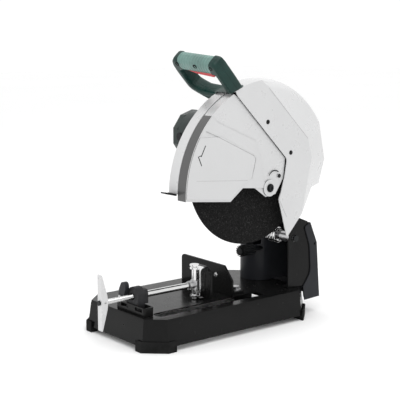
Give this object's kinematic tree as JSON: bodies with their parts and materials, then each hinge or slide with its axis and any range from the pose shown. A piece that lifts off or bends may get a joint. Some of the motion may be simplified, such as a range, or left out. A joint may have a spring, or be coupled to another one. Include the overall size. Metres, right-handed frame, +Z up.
{
  "type": "abrasive chop saw",
  "caption": "Bench chop saw with an abrasive cutting disc in a silver hood, a sprung tilting head with a motor and a D-handle, and a screw vise on a black pressed base.",
  "frame": {"origin": "bottom centre of the whole saw, on the surface that its feet stand on", "axes": "+X to the side that the disc is on, +Y to the rear, +Z up"},
  "size_m": [0.3, 0.6644, 0.6431],
  "materials": {
    "black_paint": "gloss black powder coat",
    "grey_paint": "satin grey powder coat",
    "rubber": "matt black rubber",
    "chrome": "bright plated steel",
    "steel": "machined steel",
    "silver_paint": "pale silver lacquer",
    "dark_silver": "dulled steel",
    "green_plastic": "dark green moulded plastic",
    "dark_plastic": "dark grey moulded plastic",
    "red_plastic": "red moulded plastic",
    "abrasive": "resin-bonded abrasive grit",
    "cast": "dark painted casting",
    "copper": "wound copper and laminated steel"
  },
  "bodies": {
    "base": {"base_tray": "black_paint", "foot_front_right": "rubber", "foot_front_left": "rubber", "foot_rear_right": "rubber", "foot_rear_left": "rubber", "pedestal_nose": "grey_paint", "ear_plate": "black_paint", "rear_cover_plate": "grey_paint", "pivot_shaft": "steel", "shaft_spacer": "steel", "pivot_bolt": "steel", "ear_base_bolt": "steel", "return_spring": "chrome", "vise_bracket": "black_paint", "nut_block": "cast", "lever_pin": "steel", "fence_pivot_bolt": "steel"},
    "lock_pin": {"transport_lock_pin": "dark_plastic"},
    "fence_body": {"fence": "black_paint", "fence_clamp_bolt": "steel"},
    "release_lever": {"quick_release_lever": "grey_paint"},
    "vise_slide": {"jaw_carrier": "steel", "jaw_pin": "chrome"},
    "vise_crank": {"vise_screw": "chrome", "crank_plate": "silver_paint", "crank_bolt": "dark_plastic"},
    "jaw": {"jaw_plate": "black_paint", "jaw_yoke": "chrome"},
    "head": {"arm_casting": "cast", "gear_housing": "cast", "gear_cover": "cast", "spindle_bearing_rear": "steel", "spindle_bearing_front": "steel", "motor_housing": "dark_plastic", "stator": "steel", "brush_cap_front": "dark_plastic", "brush_cap_rear": "dark_plastic", "motor_end_cap": "dark_plastic", "cable_gland": "rubber", "hood_left_shell": "silver_paint", "hood_rear_cover": "silver_paint", "hood_upper_cover": "silver_paint", "guard_pivot_bolt": "dark_silver", "handle_front_shell": "green_plastic", "handle_rear_shell": "green_plastic", "switch_body": "dark_plastic"},
    "lower_guard": {"blade_guard": "silver_paint"},
    "front_flap": {"spark_flap": "rubber"},
    "disc_spindle": {"spindle": "steel", "drive_gear": "steel", "inner_flange": "steel", "cutting_disc": "abrasive", "outer_flange": "steel", "disc_nut": "steel"},
    "rotor": {"armature": "copper", "motor_fan": "dark_plastic"},
    "switch_trigger": {"trigger": "red_plastic"},
    "lock_button": {"lock_off_button": "red_plastic"},
    "spindle_lock": {"spindle_lock_button": "dark_plastic"}
  },
  "joints": [
    {"name": "head_tilt", "type": "hinge", "parent": "base", "child": "head", "pos_m": [0, 0.18925, 0.194], "axis": [1, 0, 0], "range_deg": [0, 40.5], "stiffness_Nm_per_rad": 40, "springref_deg": -45.84},
    {"name": "guard_swing", "type": "hinge", "parent": "head", "child": "lower_guard", "pos_m": [0.115, 0.09955, 0.3264], "axis": [1, 0, 0], "range_deg": [-36, 0]},
    {"name": "flap_fold", "type": "hinge", "parent": "head", "child": "front_flap", "pos_m": [0.07, -0.15275, 0.3315], "axis": [1, 0, 0], "range_deg": [-60, 0]},
    {"name": "disc_spin", "type": "hinge", "parent": "head", "child": "disc_spindle", "pos_m": [0.085, 0.05875, 0.3733], "axis": [1, 0, 0], "continuous": true},
    {"name": "armature_spin", "type": "hinge", "parent": "head", "child": "rotor", "pos_m": [0, 0.05055, 0.4372], "axis": [1, 0, 0], "continuous": true},
    {"name": "trigger_pull", "type": "slide", "parent": "head", "child": "switch_trigger", "axis": [0.108, -0.6716, 0.733], "range_m": [0, 0.005], "stiffness_N_per_m": 600, "springref_m": -0.003},
    {"name": "lock_button_press", "type": "slide", "parent": "head", "child": "lock_button", "axis": [0, -0.7373, -0.6756], "range_m": [0, 0.003], "stiffness_N_per_m": 400, "springref_m": -0.002},
    {"name": "spindle_lock_press", "type": "slide", "parent": "head", "child": "spindle_lock", "axis": [0, 1, 0], "range_m": [0, 0.004], "stiffness_N_per_m": 400, "springref_m": -0.002},
    {"name": "lock_pin_pull", "type": "slide", "parent": "base", "child": "lock_pin", "axis": [0, -1, 0], "range_m": [0, 0.014], "stiffness_N_per_m": 500, "springref_m": -0.003},
    {"name": "fence_swing", "type": "hinge", "parent": "base", "child": "fence_body", "pos_m": [0.05, 0.05025, 0.075], "axis": [0, 0, -1], "range_deg": [0, 30]},
    {"name": "lever_release", "type": "hinge", "parent": "base", "child": "release_lever", "pos_m": [0.014, -0.24975, 0.104], "axis": [0, -1, 0], "range_deg": [0, 70]},
    {"name": "jaw_slide", "type": "slide", "parent": "base", "child": "vise_slide", "axis": [0, 1, 0], "range_m": [-0.115, 0.03]},
    {"name": "screw_turn", "type": "hinge", "parent": "vise_slide", "child": "vise_crank", "pos_m": [0.042, -0.30775, 0.108], "axis": [0, 1, 0], "range_deg": [-6906, 1806]},
    {"name": "jaw_swivel", "type": "hinge", "parent": "vise_slide", "child": "jaw", "pos_m": [0.042, -0.06775, 0.11], "axis": [0, 0, 1], "range_deg": [-15, 15]}
  ],
  "couplings": [
    {"joint": "guard_swing", "follows": "head_tilt", "ratio": -0.888},
    {"joint": "flap_fold", "follows": "head_tilt", "ratio": -1.48},
    {"joint": "armature_spin", "follows": "disc_spin", "ratio": -3.6},
    {"joint": "screw_turn", "follows": "jaw_slide", "rad_per_m": 1047.2}
  ]
}
